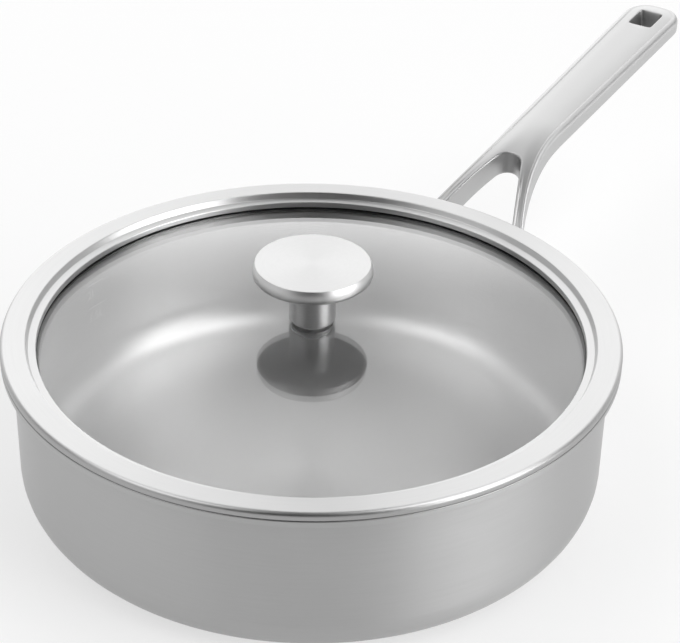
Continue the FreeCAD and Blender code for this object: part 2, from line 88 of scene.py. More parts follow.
# Painted shade on the turned steel, in zones of (radius, share of the colour); the last two inwards from the
# rim
# painted shade on the middle of the cooking surface, seen through the glass under the knob
FLOOR_PAINTED_SHADE = ((75 * MM, 0.7), (105 * MM, 1.0))
# painted shadow on the rim's edge, where the lid's band sits on it
LIP_PAINTED_SHADE = ((3 * MM, 1.0), (1 * MM, 0.5))
# painted shade on the lower edge of the band's outer side, above its joint with the rim
BAND_PAINTED_SHADE = ((0.8 * MM, 1.0), (0.1 * MM, 0.68))

# Stage
FILM_WIDTH = 36.0  # millimetres
ROOM_SIDES = (-0.55, -0.05)  # the low room starts and is full at these shares of straight behind
ROOM_TOP = (0.1, 0.5)  # the low room starts to end and ends at these shares of straight up
# Soft lamps: degrees to the right of straight behind the pan, degrees above the horizon, degrees of spread,
# brightness, and where they stand in words
LAMPS = {
    "back_light": (0, 24, 38, 1.25, "behind the pan"),
    "back_right_light": (36, 46, 32, 1.05, "high behind on the right"),
    "back_left_light": (-36, 46, 32, 1.15, "high behind on the left"),
    "right_light": (110, 53, 30, 3.1, "high on the right"),
    "left_light": (-110, 53, 30, 1.95, "high on the left"),
    "low_right_light": (120, 5, 32, 5.6, "low on the right"),
    "low_left_light": (-124, 5, 30, 0.8, "low on the left"),
}
LAMP_CORE = 3  # degrees of full brightness round the middle of a lamp


def length(label, text, default):
    """A length that a user may change, with its default in millimetres."""
    return FloatProperty(
        name=label, description=text, default=default * MM, min=0.0, unit="LENGTH", precision=5)


def share(label, text, default):
    """A plain number that a user may change, mostly from 0 to 1."""
    return FloatProperty(name=label, description=text, default=default, min=0.0)


def angle(label, text, default):
    """An angle that a user may change, in radians."""
    return FloatProperty(name=label, description=text, default=default, unit="ROTATION", precision=5)


def colour(label, text, default):
    """A colour that a user may change."""
    return FloatVectorProperty(
        name=label, description=text, default=default, subtype="COLOR", size=3, min=0.0, max=1.0)


class VesselSizes(bpy.types.PropertyGroup):
    """Sizes of the clad vessel."""

    bore_radius: length("Bore radius", "Radius of the inside wall", 120.0)
    outer_ply: length("Outer ply", "Thickness of the outer steel skin", 0.5)
    core_ply: length("Core ply", "Thickness of the aluminium core", 1.6)
    inner_ply: length("Inner ply", "Thickness of the inner steel skin", 0.5)
    corner_radius: length("Corner radius", "Inside round between floor and wall", 15.1)
    rim_height: length("Rim height", "Height of the pouring rim", 70.5)
    flare_radius: length("Flare radius", "Outside round under the rim", 3.2)
    lip_flat: length("Lip flat", "Flat part of the rim beyond the flare", 1.5)
    edge_cap: length("Edge cap", "Steel that covers the edge of the core", 0.6)
    edge_round: length("Edge round", "Round of the rim's outer edge", 0.3)

    @property
    def wall(self):
        """Thickness of all the plies."""
        return self.outer_ply + self.core_ply + self.inner_ply

    @property
    def wall_radius(self):
        """Radius of the outside wall."""
        return self.bore_radius + self.wall

    @property
    def lip_radius(self):
        """Radius of the rim."""
        return self.wall_radius + self.flare_radius + self.lip_flat


class HandleSizes(bpy.types.PropertyGroup):
    """Sizes of the forked handle."""

    reach: length("Reach", "Length of the handle from the wall", 198.2)
    neck_reach: length("Neck reach", "From the wall to the narrow neck", 64.4)
    neck_half: length("Neck half width", "Half the width at the neck", 12.3)
    end_half: length("End half width", "Half the width near the end", 14.7)
    end_corner: length("End corner", "Round of the end's corners", 12.05)
    fork_radius: length("Fork radius", "Round where the arms leave the bar", 107.0)
    fork_run: length("Fork run", "Length of that round along the handle", 49.6)
    arm_end: length("Arm end", "How far the arms reach into their feet", 2.2)
    gap_reach: length("Gap reach", "From the wall to the centre of the gap's round end", 37.6)
    gap_radius: length("Gap radius", "Round of the gap's end", 7.2)
    gap_round: length("Gap edge round", "Round of the gap's upper edge", 0.7)
    groove_inset: length("Groove inset", "From the gap's edge to the groove beside it", 1.5)
    groove_half: length("Groove half width", "Half the width of the groove beside the gap", 0.5)
    groove_depth: length("Groove depth", "Depth of the groove beside the gap", 0.35)
    groove_fade: length("Groove fade", "Length over which the groove fades to the gap's end", 14.0)
    gap_root_half: length("Gap root half width", "Half the gap's width at its root", 28.54)
    gap_root: length("Gap root", "How far inside the wall that width is measured", 10.0)
    hole_length: length("Hole length", "Length of the hanging hole", 15.0)
    hole_taper: length("Hole taper", "How much the hole narrows downwards on each side", 1.5)
    hole_width: length("Hole width", "Width of the hanging hole", 12.2)
    hole_corner: length("Hole corner", "Round of the hole's corners", 2.2)
    hole_edge: length("Hole edge", "From the hole to the end", 10.0)
    hole_round: length("Hole round", "Round of the hole's rim", 0.7)
    bar_lift: length("Bar lift", "Height of the bar's near end above the rim", 21.2)
    bar_rise: length("Bar rise", "Climb of the bar to its end", 17.0)
    bar_reach: length("Bar reach", "From the wall to the bar's near end", 71.2)
    bend_radius: length("Bend radius", "Round between the arms and the bar, seen from the side", 110.0)
    bend_reach: length("Bend reach", "From the wall to the start of the bend", 12.8)
    arm_thick: length("Arm thickness", "Thickness of the arms", 10.4)
    end_thick: length("End thickness", "Thickness at the end", 8.8)
    crown: length("Crown", "Height of the middle of the top above the crease", 1.2)
    crown_width: length("Crown width", "Width over which the crown falls to the crease", 9.0)
    rail_rise: length("Rail rise", "Height of the edge rail above the crease", 0.28)
    rail_fade: length("Rail fade", "Length over which the rail fades towards the end", 26.0)
    rail_width: length("Rail width", "From the edge to the crease", 3.3)
    crease_width: length("Crease width", "Width of the rail's fall into the crease", 0.5)
    top_round: length("Top round", "Round of the top edges", 2.7)
    under_round: length("Under round", "Round of the lower edges", 1.4)
    rail_run: length("Rail run", "How far beyond the neck the rail has its full size", 20.0)
    arm_share: share("Arm share", "Size of the rail on the arms against that on the bar", 0.5)
    foot_side: length("Foot side", "From the handle's middle to a foot", 29.84)
    foot_width: length("Foot width", "Width of a foot", 16.0)
    foot_height: length("Foot height", "Height of a foot", 24.0)
    foot_thick: length("Foot thickness", "Thickness of a foot", 3.0)
    foot_corner: length("Foot corner", "Round of a foot's corners", 4.0)
    foot_round: length("Foot round", "Round of a foot's front edge", 1.0)
    weld: length("Weld", "Gap to the wall that the weld fills", 0.4)


class LidSizes(bpy.types.PropertyGroup):
    """Sizes of the lid's band, seal and glass."""

    ring_rise: length("Band rise", "Height of the band above the rim", 3.4)
    ring_sheet: length("Band sheet", "Thickness of the band's sheet", 0.7)
    ring_round: length("Band round", "Round of the band's top edge", 1.7)
    ring_inset: length("Band flat", "Width of the band's flat", 10.2)
    flat_round: length("Flat round", "Round between flat and step", 0.6)
    step_run: length("Step run", "Width of the steep step inside the flat", 1.1)
    step_drop: length("Step drop", "Depth of the steep step inside the flat", 2.5)
    step_round: length("Step round", "Round between step and shelf", 0.6)
    shelf_run: length("Shelf run", "Width of the shelf round the glass", 3.1)
    shelf_drop: length("Shelf drop", "Fall of the shelf towards the glass", 0.55)
    shelf_round: length("Shelf round", "Round between the shelf and its turned edge", 0.5)
    edge_lean: length("Edge lean", "Lean of the turned edge", 0.15)
    edge_drop: length("Edge drop", "Depth of the turned edge down to the seal", 2.4)
    cut_round: length("Cut round", "Round of the band's cut and lower edges", 0.2)
    fold_round: length("Fold round", "Round inside the band's top edge", 0.3)
    slope_share: share("Slope share", "Share of the sheet that is measured across a slope", 0.7)
    hem_width: length("Hem width", "Width of the turned hem on the rim", 2.3)
    dome_radius: length("Dome radius", "Radius of the glass dome", 680.0)
    dome_depth: length("Dome depth", "How far the centre of the dome lies below the base", 602.56)
    glass_thick: length("Glass thickness", "Thickness of the glass", 4.0)
    glass_radius: length("Glass radius", "Radius of the glass disc", 117.2)
    glass_edge: length("Glass edge", "Round of the ground edge of the glass", 0.8)
    hole_radius: length("Glass hole", "Radius of the hole under the knob", 4.9)
    seal_thick: length("Seal thickness", "Thickness of the seal", 1.0)
    seal_lip: length("Seal lip", "Thickness of the seal on top of the glass", 0.3)
    seal_toe: length("Seal toe", "How far the seal shows inside the band", 0.1)
    seal_fit: length("Seal fit", "Play between seal and glass or steel", 0.05)
    retainer_lap: length("Retainer lap", "How far the retainer reaches under the glass", 3.2)


class KnobSizes(bpy.types.PropertyGroup):
    """Sizes of the knob on the lid."""

    radius: length("Knob radius", "Radius of the knob's disc", 24.6)
    thick: length("Knob thickness", "Thickness of the knob's disc", 6.0)
    face_inset: length("Face inset", "From the widest line in to the edge of the top face", 1.1)
    face_rise: length("Face rise", "From the widest line up to the top face", 2.4)
    face_round: length("Face round", "Round of the top face's edge", 0.3)
    side_round: length("Side round", "Round of the side at its widest line", 7.6)
    under_round: length("Under round", "Round of the lower edge", 1.9)
    stem_radius: length("Stem radius", "Radius of the stem", 9.65)
    stem_length: length("Stem length", "Length of the stem", 19.7)
    stem_round: length("Stem round", "Round of the stem's foot", 0.6)
    stem_fillet: length("Stem fillet", "Round between stem and disc", 3.0)
    seat_thick: length("Seat thickness", "Thickness of the seat between stem and glass", 0.8)
    thread_radius: length("Thread radius", "Radius of the threaded hole", 2.5)
    thread_round: length("Thread round", "Round of the threaded hole's edge", 0.3)
    thread_depth: length("Thread depth", "Depth of the threaded hole", 10.0)


class MarkSizes(bpy.types.PropertyGroup):
    """Sizes of the measuring marks on the inside wall."""

    bearing: angle("Bearing", "Direction of the marks' middle from +X", radians(88.05))
    line_length: length("Line length", "Length of a mark's line", 10.7)
    line_width: length("Line width", "Width of a mark's line", 0.45)
    text_size: length("Text size", "Size of a mark's figures", 5.6)
    text_fall: length("Text fall", "From a line to the foot of its figures", 6.6)
    depth: length("Depth", "Thickness of the mark's layer", 0.04)
    two_litres: length("Two litres", "Height of the two litre line", 49.0)
    half_more: length("One and a half litres", "Height of the one and a half litre line", 37.6)


class Finishes(bpy.types.PropertyGroup):
    """Colours of the pieces."""

    satin_inside: colour("Satin inside", "Colour of the inside of the vessel", (0.72, 0.72, 0.72))
    # partly the steel's own colour, partly painted shade: darkened to stand in for the shaded floor that the
    # outer wall mirrors
    shaded_satin_outside: colour("Satin outside", "Colour of the outside of the vessel", (0.46, 0.46, 0.46))
    satin_band: colour("Satin band", "Colour of the lid's band", (0.58, 0.58, 0.58))
    cast_steel: colour("Cast steel", "Colour of the handle", (0.54, 0.54, 0.54))
    turned_steel: colour("Turned steel", "Colour of the knob and its fixings", (0.60, 0.60, 0.60))
    core_aluminium: colour("Core aluminium", "Colour of the vessel's core", (0.78, 0.78, 0.78))
    clear_glass: colour("Clear glass", "Tint of the glass", (0.97, 0.97, 0.97))
    black_silicone: colour("Black silicone", "Colour of the seal", (0.012, 0.012, 0.012))
    clear_silicone: colour("Clear silicone", "Colour of the seat and grommet", (0.72, 0.72, 0.72))
    etched_mark: colour("Etched mark", "Colour of the measuring marks", (0.88, 0.88, 0.88))


class StageSizes(bpy.types.PropertyGroup):
    """Floor, light and camera."""

    floor_colour: colour("Floor", "Colour of the floor", (0.92, 0.92, 0.92))
    floor_white: share("Floor white", "Share of plain white in the floor as it is seen", 0.6)
    floor_size: length("Floor size", "Side of the floor", 12000.0)
    camera_range: length("Camera range", "From the camera to the point it aims at", 800.0)
    aim_height: length("Aim height", "Height of that point on the pan's axis", 73.893)
    camera_bearing: angle("Camera bearing", "Direction the camera looks in, from +X", radians(34))
    camera_climb: angle("Camera climb", "Height of the camera above the horizon", 0.5556065)
    camera_turn: angle("Camera turn", "Turn of the camera to the right of the pan's axis", 0.014301)
    camera_tilt: angle("Camera tilt", "Tilt of the camera above the aim", 0.002421)
    camera_roll: angle("Camera roll", "Roll of the camera", 0.011294)
    lens: share("Lens", "Focal length in millimetres on a 36 mm wide film", 102.893)
    horizon: share("Horizon", "Brightness of the low room behind the pan", 1.0)


for lamp, (*_, strength, place) in LAMPS.items():
    StageSizes.__annotations__[lamp] = share(
        lamp.replace("_", " ").capitalize(), f"Brightness of the soft lamp {place}", strength)


class Quantity:
    """A value that a node works out. Sums with it add Math nodes to the same graph."""

    def __init__(self, graph, socket):
        self.graph = graph
        self.socket = socket

    def work(self, operation, first, second):
        """One Math node on two values."""
        node = self.graph.add("ShaderNodeMath", {"operation": operation}, {0: first, 1: second})
        return Quantity(self.graph, node.outputs[0])

    def __add__(self, other):
        return self.work("ADD", self, other)

    def __radd__(self, other):
        return self.work("ADD", other, self)

    def __sub__(self, other):
        return self.work("SUBTRACT", self, other)

    def __rsub__(self, other):
        return self.work("SUBTRACT", other, self)

    def __mul__(self, other):
        return self.work("MULTIPLY", self, other)

    def __rmul__(self, other):
        return self.work("MULTIPLY", other, self)

    def __truediv__(self, other):
        return self.work("DIVIDE", self, other)

    def __rtruediv__(self, other):
        return self.work("DIVIDE", other, self)

    def __pow__(self, other):
        return self.work("POWER", self, other)

    def step(self, low, high):
        """0 below low, 1 above high and a smooth rise between them."""
        node = self.graph.add(
            "ShaderNodeMapRange", {"interpolation_type": "SMOOTHSTEP"},
            {"Value": self, "From Min": low, "From Max": high})
        return Quantity(self.graph, node.outputs["Result"])

    def swing(self, size):
        """A value from 0 to 1 as a swing about 0 of that size."""
        return (self - 0.5) * size


class Graph:
    """A node tree that takes each node in one line."""

    def __init__(self, tree):
        self.tree = tree

    def add(self, kind, settings=None, values=None):
        """Adds a node, sets its settings, then sets or links its sockets."""
        node = self.tree.nodes.new(kind)
        for key, value in (settings or {}).items():
            setattr(node, key, value)
        for key, value in (values or {}).items():
            self.feed(node.inputs[key], value)
        return node

    def feed(self, socket, value):
        """Links a quantity or a socket to a socket, or sets a plain value on it."""
        if isinstance(value, Quantity):
            value = value.socket
        if isinstance(value, bpy.types.NodeSocket):
            self.tree.links.new(value, socket)
        else:
            socket.default_value = value

    def split(self, vector):
        """The three parts of a vector as quantities."""
        node = self.add("ShaderNodeSeparateXYZ", None, {0: vector})
        return [Quantity(self, socket) for socket in node.outputs]

    def join(self, x, y, z):
        """A vector of three quantities."""
        return self.add("ShaderNodeCombineXYZ", None, {0: x, 1: y, 2: z}).outputs[0]

    def noise(self, vector, scale, detail=2.0):
        """Soft noise from 0 to 1."""
        node = self.add("ShaderNodeTexNoise", None, {"Vector": vector, "Scale": scale, "Detail": detail})
        return Quantity(self, node.outputs["Fac"])

    def blend(self, factor, first, second):
        """A colour between two colours."""
        node = self.add("ShaderNodeMix", {"data_type": "RGBA"}, {0: factor, 6: first, 7: second})
        return node.outputs[2]

    def tone(self, factor, tint, low, high):
        """A colour between a darker and a lighter share of a tint."""
        return self.blend(factor, shade(tint, low), shade(tint, high))


class Finish(Graph):
    """A material under construction, with its shader and the place on the piece."""

    def __init__(self, name):
        self.material = bpy.data.materials.new(name)
        self.material.use_nodes = True
        super().__init__(self.material.node_tree)
        self.shader = self.tree.nodes["Principled BSDF"]
        self.place = self.add("ShaderNodeTexCoord").outputs["Object"]

    def set(self, **values):
        """Sets or links sockets of the shader; a name's underscores stand for spaces."""
        for key, value in values.items():
            self.feed(self.shader.inputs[key.replace("_", " ")], value)

    def bump(self, height, strength):
        """Fine relief on the shader's normal."""
        node = self.add(
            "ShaderNodeBump", None, {"Height": height, "Strength": strength, "Distance": GRAIN_DEPTH})
        self.set(Normal=node.outputs["Normal"])


def shade(tint, factor):
    """A colour for a socket, made lighter or darker."""
    return [part * factor for part in tint] + [1.0]


def turned_finish(name, tint, roughness, anisotropy, relief, painted_shade=()):
    """Steel brushed in circles round the pan's axis, faintly clouded, its colour darkened by painted shade in
    zones of (radius, share).
    """
    finish = Finish(name)
    x, y, z = finish.split(finish.place)
    radius = (x * x + y * y) ** 0.5 + OFF_AXIS
    trace = finish.join(x / radius * BRUSH_WAVES, y / radius * BRUSH_WAVES, (radius + z) * BRUSH_LINES)
    lines = finish.noise(trace, scale=1.0)
    cloud = finish.noise(finish.place, scale=22.0, detail=3.0)
    steel = finish.tone(lines, tint, low=0.94, high=1.04)
    # painted shade: the colour is scaled down by the zones' shares of the colour
    if painted_shade:
        level = painted_shade[0][1]
        for (near, before), (far, after) in zip(painted_shade, painted_shade[1:]):
            level = level + radius.step(near, far) * (after - before)
        steel = finish.blend(level, shade(tint, 0.0), steel)
    finish.set(
        Metallic=1.0, Anisotropic=anisotropy, Anisotropic_Rotation=ACROSS, Base_Color=steel,
        Roughness=lines.swing(0.12) + cloud.swing(0.08) + roughness)
    finish.bump(lines, relief)
    return finish.material


def shade_inside_rim(vessel, painted_shade):
    """Zones of painted shade given inwards from the rim, as zones by radius."""
    return tuple((vessel.lip_radius - inwards, part) for inwards, part in painted_shade)


def blasted_finish(name, tint, roughness, hole=None):
    """Cast steel with a fine blasted grain; inside a hole (near, far, half width) its colour is darkened as
    painted shade and it is a little rougher.
    """
    finish = Finish(name)
    grain = finish.noise(finish.place, scale=1900.0)
    cloud = finish.noise(finish.place, scale=35.0, detail=3.0)
    steel = finish.tone(cloud, tint, low=0.97, high=1.03)
    gloss = grain.swing(0.1) + cloud.swing(0.06) + roughness
    if hole:
        near, far, half = hole
        x, y, _ = finish.split(finish.place)
        inside = x.step(near - HOLE_SHADE_EDGE, near + HOLE_SHADE_EDGE) * (1 - x.step(far - HOLE_SHADE_EDGE, far + HOLE_SHADE_EDGE))
        inside = inside * (1 - ((y * y) ** 0.5).step(half - HOLE_SHADE_EDGE, half + HOLE_SHADE_EDGE))
        # painted shade: the steel darker inside the hole
        steel = finish.blend(inside, steel, shade(tint, 0.62))
        gloss = gloss + inside * 0.1
    finish.set(Metallic=1.0, Base_Color=steel, Roughness=gloss)
    finish.bump(grain, strength=0.05)
    return finish.material


def metal_core_finish(name, tint):
    """Rolled aluminium, dull and faintly streaked."""
    finish = Finish(name)
    x, y, z = finish.split(finish.place)
    streak = finish.noise(finish.join(x * 60.0, y * 60.0, z * 1500.0), scale=1.0)
    finish.set(
        Metallic=1.0, Base_Color=finish.tone(streak, tint, low=0.93, high=1.0),
        Roughness=streak * 0.15 + 0.35)
    finish.bump(streak, strength=0.05)
    return finish.material


def glass_finish(name, tint):
    """Clear tempered glass with the faintest polishing haze."""
    finish = Finish(name)
    haze = finish.noise(finish.place, scale=30.0, detail=3.0)
    finish.set(
        Base_Color=finish.tone(haze, tint, low=0.995, high=1.0),
        Roughness=haze.step(0.55, 0.8) * 0.006, IOR=1.68, Specular_IOR_Level=1.0, Transmission_Weight=1.0)
    return finish.material


def silicone_finish(name, tint, roughness, clear):
    """Moulded silicone, more or less clear, with a fine mould grain."""
    finish = Finish(name)
    grain = finish.noise(finish.place, scale=1200.0)
    cloud = finish.noise(finish.place, scale=60.0)
    finish.set(
        Base_Color=finish.tone(cloud, tint, low=0.9, high=1.0),
        Roughness=grain.swing(0.1) + roughness, IOR=1.41, Transmission_Weight=clear)
    finish.bump(grain, strength=0.08)
    return finish.material


def rounded(corners):
    """The points of a closed outline of (radius, height, round) corners, with support points on its sides."""
    tangents = []
    count = len(corners)
    for index, (across, up, size) in enumerate(corners):
        here = Vector((across, up))
        to_last = (Vector(corners[index - 1][:2]) - here).normalized()
        to_next = (Vector(corners[(index + 1) % count][:2]) - here).normalized()
        if size == 0.0:
            tangents.append([here])
            continue
        half = to_last.angle(to_next) / 2
        centre = here + (to_last + to_next).normalized() * size / sin(half)
        start = here + to_last * size / tan(half) - centre
        sweep = pi - 2 * half
        if start.x * to_last.y - start.y * to_last.x > 0:
            sweep = -sweep
        steps = max(2, ceil(abs(sweep) / ARC_STEP))
        tangents.append([
            centre + Matrix.Rotation(sweep * part / steps, 2) @ start for part in range(steps + 1)])
    points = []
    for index, bow in enumerate(tangents):
        points.extend(bow)
        side = tangents[(index + 1) % count][0] - bow[-1]
        if side.length > 4 * SUPPORT:
            points.append(bow[-1] + side.normalized() * SUPPORT)
            points.append(bow[-1] + side - side.normalized() * SUPPORT)
    return [(point.x, point.y) for point in points]


def lathe(outline):
    """A mesh of a closed (radius, height) outline turned about the pan's axis."""
    mesh = bmesh.new()
    ways = [(cos(tau * turn / TURNS), sin(tau * turn / TURNS)) for turn in range(TURNS)]
    rings = []
    for across, up in outline:
        if across < ON_AXIS:
            rings.append([mesh.verts.new((0.0, 0.0, up))] * TURNS)
        else:
            rings.append([mesh.verts.new((across * x, across * y, up)) for x, y in ways])
    skin(mesh, rings + rings[:1])
    return mesh


def skin(mesh, rings):
    """Quads between each ring and the next; all rings have the same count, and may repeat a vertex."""
    for first, second in zip(rings, rings[1:]):
        for index, here in enumerate(first):
            after = (index + 1) % len(first)
            corners = tuple(dict.fromkeys((here, first[after], second[after], second[index])))
            if len(corners) > 2:
                mesh.faces.new(corners)


def mesh_data(name, mesh):
    """The data of a finished mesh, its faces turned outwards."""
    bmesh.ops.recalc_face_normals(mesh, faces=mesh.faces)
    data = bpy.data.meshes.new(name)
    mesh.to_mesh(data)
    mesh.free()
    return data


def new_object(name, data):
    """An object of that data in the scene."""
    made = bpy.data.objects.new(name, data)
    bpy.context.scene.collection.objects.link(made)
    return made


def dress(data, material):
    """Smooths a mesh but for its sharp corners and paints it."""
    data.materials.clear()
    data.materials.append(material)
    data.shade_smooth()
    data.set_sharp_from_angle(angle=SHARP_ANGLE)


def piece(name, mesh, material, body, slot, *nodes):
    """Makes a shown object of a mesh: painted, riding on a body, in place of CAD nodes."""
    shown = new_object(name, mesh_data(name, mesh))
    dress(shown.data, material)
    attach(shown, body)
    if nodes:
        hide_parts(*nodes)


def paint_node(name, material):
    """Gives a CAD node that stays as it is a finish."""
    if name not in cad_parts:
        raise RuntimeError(f"the packed part has no node {name}")
    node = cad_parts[name]
    dress(node.data, material)


def ply_corners(vessel, depth, reach):
    """One side of a ply, depth inside the outer face, from the axis to its reach on the rim."""
    corner = vessel.corner_radius + vessel.wall - depth
    under = vessel.rim_height - vessel.wall
    return [
        (0.0, depth, 0.0), (vessel.wall_radius - depth, depth, corner),
        (vessel.wall_radius - depth, under + depth, vessel.flare_radius + depth), (reach, under + depth, 0.0)]


class SAUTE_OT_vessel(bpy.types.Operator):
    """Build the three plies of the vessel"""

    bl_idname = "saute_pan.vessel"
    bl_label = "Vessel"

    def execute(self, context):
        vessel = context.scene.saute_vessel
        tints = context.scene.saute_finishes
        # the outside's colour holds painted shade for the shaded floor it mirrors
        steel = turned_finish(
            "shaded_satin_steel_outside", tints.shaded_satin_outside, roughness=0.42, anisotropy=0.7, relief=0.10)
        inside = turned_finish(
            "satin_steel_inside", tints.satin_inside, roughness=0.42, anisotropy=0.65, relief=0.10,
            # painted shade on the middle of the floor and on the rim's edge under the lid
            painted_shade=FLOOR_PAINTED_SHADE + shade_inside_rim(vessel, LIP_PAINTED_SHADE))
        core = metal_core_finish("core_aluminium", tints.core_aluminium)
        low, high = vessel.outer_ply, vessel.outer_ply + vessel.core_ply
        lip = vessel.lip_radius
        capped = lip - vessel.edge_cap
        under = vessel.rim_height - vessel.wall
        shell = ply_corners(vessel, 0.0, lip)
        shell[-1] = (lip, under, vessel.edge_round)
        shell += [(lip, under + high, 0.0), (capped, under + high, 0.0)]
        shell += ply_corners(vessel, low, capped)[::-1]
        piece("outer_skin", lathe(rounded(shell)), steel, "pan", "satin_steel", "pan_outer_ply")
        middle = ply_corners(vessel, low, capped) + ply_corners(vessel, high, capped)[::-1]
        piece("aluminium_core", lathe(rounded(middle)), core, "pan", "core_aluminium", "pan_core_ply")
        lining = ply_corners(vessel, high, lip) + ply_corners(vessel, vessel.wall, lip)[::-1]
        lining[4] = (lip, vessel.rim_height, vessel.edge_round)
        piece("inner_skin", lathe(rounded(lining)), inside, "pan", "satin_steel", "pan_inner_ply")
        return {"FINISHED"}


class HandleForm:
    """The handle's lines in plan and in side view, worked out from its sizes."""

    def __init__(self, sizes, vessel):
        self.sizes = sizes
        wall = vessel.wall_radius
        self.root_x = wall - sizes.arm_end
        self.end_x = wall + sizes.reach
        self.neck_x = wall + sizes.neck_reach
        self.fork_x = self.neck_x - sizes.fork_run
        self.gap_x = wall + sizes.gap_reach
        self.side = atan2(sizes.end_half - sizes.neck_half, self.end_x - self.neck_x)
        self.foot_radius = wall + sizes.weld
        self.lay_side_view(wall, vessel.rim_height)

    def lay_side_view(self, wall, rim):
        """Lines of the top and the underside as seen from the side."""
        sizes = self.sizes
        self.bar_x = wall + sizes.bar_reach
        self.bar_z = rim + sizes.bar_lift
        run = self.end_x - self.bar_x
        self.bar_slope = sizes.bar_rise / run
        tilt = atan(self.bar_slope)
        self.bend_x = self.bar_x + sizes.bend_radius * sin(tilt)
        self.bend_z = self.bar_z - sizes.bend_radius * cos(tilt)
        self.arm_x = wall + sizes.bend_reach
        self.arm_tilt = asin((self.bend_x - self.arm_x) / sizes.bend_radius)
        self.under_bend = sizes.bend_radius - sizes.arm_thick
        under_end = self.bar_z + sizes.bar_rise - sizes.end_thick
        far = Vector((self.end_x - self.bend_x, under_end - self.bend_z))
        lean = atan2(far.y, far.x) - asin(self.under_bend / far.length)
        self.under_x = self.bend_x - self.under_bend * sin(lean)
        self.under_slope = tan(lean)
        self.under_end = under_end

    def bend(self, x, radius):
        """Height of a bend of that radius."""
        return self.bend_z + sqrt(max(0.0, radius ** 2 - (x - self.bend_x) ** 2))

    def top(self, x):
        """Height of the crown's ridge."""
        slope = tan(self.arm_tilt)
        if x > self.bar_x:
            return self.bar_z + (x - self.bar_x) * self.bar_slope
        if x > self.arm_x:
            return self.bend(x, self.sizes.bend_radius)
        return self.bend(self.arm_x, self.sizes.bend_radius) + (x - self.arm_x) * slope

    def under(self, x):
        """Height of the underside."""
        start = self.bend_x - self.under_bend * sin(self.arm_tilt)
        if x > self.under_x:
            return self.under_end - (self.end_x - x) * self.under_slope
        if x > start:
            return self.bend(x, self.under_bend)
        return self.bend(start, self.under_bend) + (x - start) * tan(self.arm_tilt)

    def outer_line(self):
        """The outer edge in plan from the root to the tip, on the +Y side."""
        sizes = self.sizes
        centre = (
            self.neck_x - sizes.fork_radius * sin(self.side),
            sizes.neck_half + sizes.fork_radius * cos(self.side))
        first = asin((self.fork_x - centre[0]) / sizes.fork_radius)
        fork_y = centre[1] - sizes.fork_radius * cos(first)
        corner = (
            self.end_x - sizes.end_corner,
            sizes.end_half - sizes.end_corner * (1 + sin(self.side)) / cos(self.side))
        line = path(
            (self.root_x, fork_y + (self.root_x - self.fork_x) * tan(first)), (self.fork_x, fork_y))
        line += arc(centre, sizes.fork_radius, first - pi / 2, self.side - pi / 2, FORK_PARTS)[1:]
        end = arc(corner, sizes.end_corner, self.side + pi / 2, 0.0, END_PARTS)
        line += path(line[-1], end[0])[1:] + end[1:]
        return line + path(line[-1], (self.end_x, 0.0))[1:]

    def gap_line(self):
        """The gap's edge in plan from the root to its round end, on the +Y side."""
        sizes = self.sizes
        root = Vector((self.root_x + sizes.arm_end - sizes.gap_root, sizes.gap_root_half))
        away = root - Vector((self.gap_x, 0.0))
        lean = atan2(away.y, away.x) - acos(sizes.gap_radius / away.length)
        end = arc((self.gap_x, 0.0), sizes.gap_radius, lean, 0.0, GAP_PARTS)
        touch = end[0]
        part = (self.root_x - touch[0]) / (root.x - touch[0])
        return path((self.root_x, touch[1] + (root.y - touch[1]) * part), touch) + end[1:]

    def hole_line(self):
        """The hanging hole's edge in plan, clockwise."""
        sizes = self.sizes
        middle = (self.end_x - sizes.hole_edge - sizes.hole_length / 2, 0.0)
        halves = (sizes.hole_length / 2, sizes.hole_width / 2)
        return round_box(middle, halves, sizes.hole_corner, 90, -1, HOLE_PARTS)

    def rail_share(self, x):
        """Size of the rail at x against its size on the bar."""
        rise = smooth((x - self.fork_x) / (self.neck_x + self.sizes.rail_run - self.fork_x))
        return self.sizes.arm_share + (1 - self.sizes.arm_share) * rise

    def drop(self, inset, x):
        """How far the top lies below the ridge.

        The inset from the outer edge is measured in rails of the bar's size.
        """
        sizes = self.sizes
        part = self.rail_share(x)
        crown = sizes.crown * part
        fade = smooth((x - self.end_x + sizes.rail_fade) / sizes.rail_fade)
        rail = crown - sizes.rail_rise * part * (1 - fade)
        if inset < sizes.top_round:
            return rail + round_fall(inset, sizes.top_round) * part
        if inset < sizes.rail_width:
            fall = smooth((inset - sizes.rail_width + sizes.crease_width) / sizes.crease_width)
            return rail + (crown - rail) * fall
        return crown * max(0.0, 1 - (inset - sizes.rail_width) / sizes.crown_width) ** 2

    def gap_drop(self, inset, x):
        """How far the edge round and the groove beside the gap lie below the top."""
        sizes = self.sizes
        if inset < sizes.gap_round:
            return round_fall(inset, sizes.gap_round)
        along = 1 - smooth((x - self.gap_x + sizes.groove_fade) / sizes.groove_fade)
        away = (inset - sizes.groove_inset) / sizes.groove_half
        return sizes.groove_depth * along * max(0.0, 1 - away ** 2)


def round_fall(inset, size):
    """How far a round of that size lies below the face at an inset from its edge."""
    away = max(0.0, size - inset)
    return size - sqrt(size ** 2 - away ** 2)


def path(first, last):
    """Points along a straight line, both ends included."""
    count = max(1, ceil(dist(first, last) / LINE_STEP))
    return [
        (first[0] + (last[0] - first[0]) * part / count, first[1] + (last[1] - first[1]) * part / count)
        for part in range(count + 1)]


def arc(centre, radius, first, last, count):
    """Points along an arc from one direction to another, both ends included."""
    turns = [first + (last - first) * part / count for part in range(count + 1)]
    return [(centre[0] + radius * cos(turn), centre[1] + radius * sin(turn)) for turn in turns]


